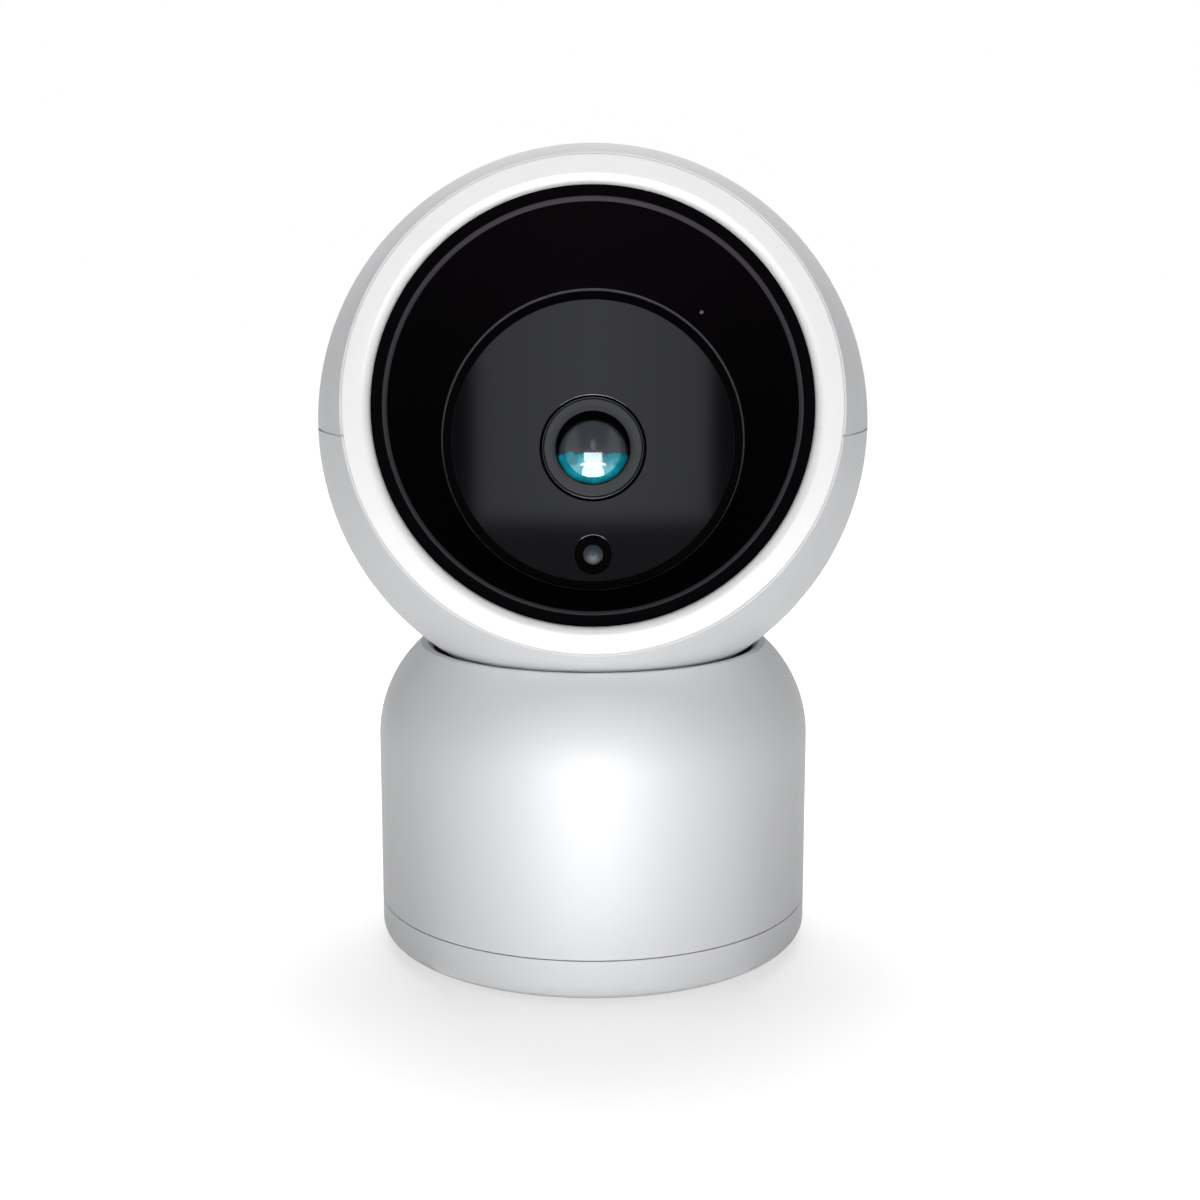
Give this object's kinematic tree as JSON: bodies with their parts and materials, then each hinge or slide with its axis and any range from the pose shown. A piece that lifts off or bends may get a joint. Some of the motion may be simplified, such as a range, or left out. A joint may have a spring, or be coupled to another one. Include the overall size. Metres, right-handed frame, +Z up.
{
  "type": "security camera",
  "caption": "Indoor security camera: a ball head with a hooded lens turns and nods in a round base.",
  "frame": {"origin": "on the pan axis, at floor level under the middle of the base, at the mouth of the tripod thread", "axes": "+Z up along the pan axis, -Y out of the lens's side, +X to the right seen from the front"},
  "size_m": [0.075, 0.0676, 0.1103],
  "materials": {
    "white_shell": "satin",
    "black_hood": "satin",
    "window_acrylic": "polished",
    "black_metal": "anodised black",
    "lens_glass": "polished",
    "dark_plastic": "moulded",
    "circuit_board": "solder mask",
    "steel": "plain",
    "nylon": "moulded",
    "grey_plastic": "moulded",
    "button_plastic": "moulded",
    "rubber": "matt",
    "brass": "turned"
  },
  "bodies": {
    "base": {"base_housing": "white_shell", "bottom_cover": "white_shell", "rubber_foot": "rubber", "tripod_insert": "brass", "deck": "dark_plastic", "pan_bush": "nylon", "pan_motor": "steel", "power_board": "circuit_board", "power_inlet": "steel", "reset_switch": "dark_plastic", "speaker": "dark_plastic", "speaker_gasket": "rubber", "base_screws": "steel", "deck_screws": "steel", "pan_motor_screws": "steel", "power_board_screws": "steel"},
    "pan_head": {"turntable": "grey_plastic", "yoke": "grey_plastic", "tilt_pins": "steel", "tilt_gear": "nylon", "dust_shield": "grey_plastic", "shield_screw": "steel", "pan_gear": "nylon", "pan_gear_screws": "steel", "yoke_screws": "steel", "retaining_clip": "steel"},
    "head": {"head_upper_shell": "white_shell", "head_lower_shell": "white_shell", "front_ring": "white_shell", "hood": "black_hood", "window": "window_acrylic", "lens_barrel": "black_metal", "front_lens": "lens_glass", "rear_lens": "lens_glass", "lens_holder": "dark_plastic", "image_sensor": "dark_plastic", "camera_board": "circuit_board", "ir_board": "circuit_board", "ir_lamps": "lens_glass", "light_sensor": "black_hood", "light_sensor_lens": "lens_glass", "microphone": "steel", "inner_frame": "dark_plastic", "main_board": "circuit_board", "shield_can": "steel", "board_connector": "nylon", "wifi_antenna": "brass", "tilt_motor": "steel", "tilt_bushes": "nylon", "frame_screws": "steel", "board_screws": "steel", "tilt_motor_screws": "steel"},
    "pan_drive": {"pan_pinion": "nylon", "pan_shaft": "steel"},
    "tilt_drive": {"tilt_pinion": "nylon", "tilt_shaft": "steel"},
    "reset": {"reset_button": "button_plastic", "switch_plunger": "nylon"}
  },
  "joints": [
    {"name": "pan", "type": "hinge", "parent": "base", "child": "pan_head", "pos_m": [0, 0, 0.0218], "axis": [0, 0, 1], "range_deg": [-177, 177]},
    {"name": "tilt", "type": "hinge", "parent": "pan_head", "child": "head", "pos_m": [0, 0, 0.0728], "axis": [-1, 0, 0], "range_deg": [-22, 40]},
    {"name": "pan_motor_turn", "type": "hinge", "parent": "base", "child": "pan_drive", "pos_m": [0, -0.0168, 0.0275], "axis": [0, 0, 1], "range_deg": [-531, 531]},
    {"name": "tilt_motor_turn", "type": "hinge", "parent": "head", "child": "tilt_drive", "pos_m": [0.0275, 0.00937, 0.0832], "axis": [-1, 0, 0], "range_deg": [-52, 94]},
    {"name": "reset_press", "type": "slide", "parent": "base", "child": "reset", "axis": [-0.5736, -0.8192, 0], "range_m": [0, 0.0006], "stiffness_N_per_m": 350, "springref_m": -0.0006}
  ],
  "couplings": [
    {"joint": "pan_motor_turn", "follows": "pan", "ratio": -3},
    {"joint": "tilt_motor_turn", "follows": "tilt", "ratio": 2.3333}
  ]
}
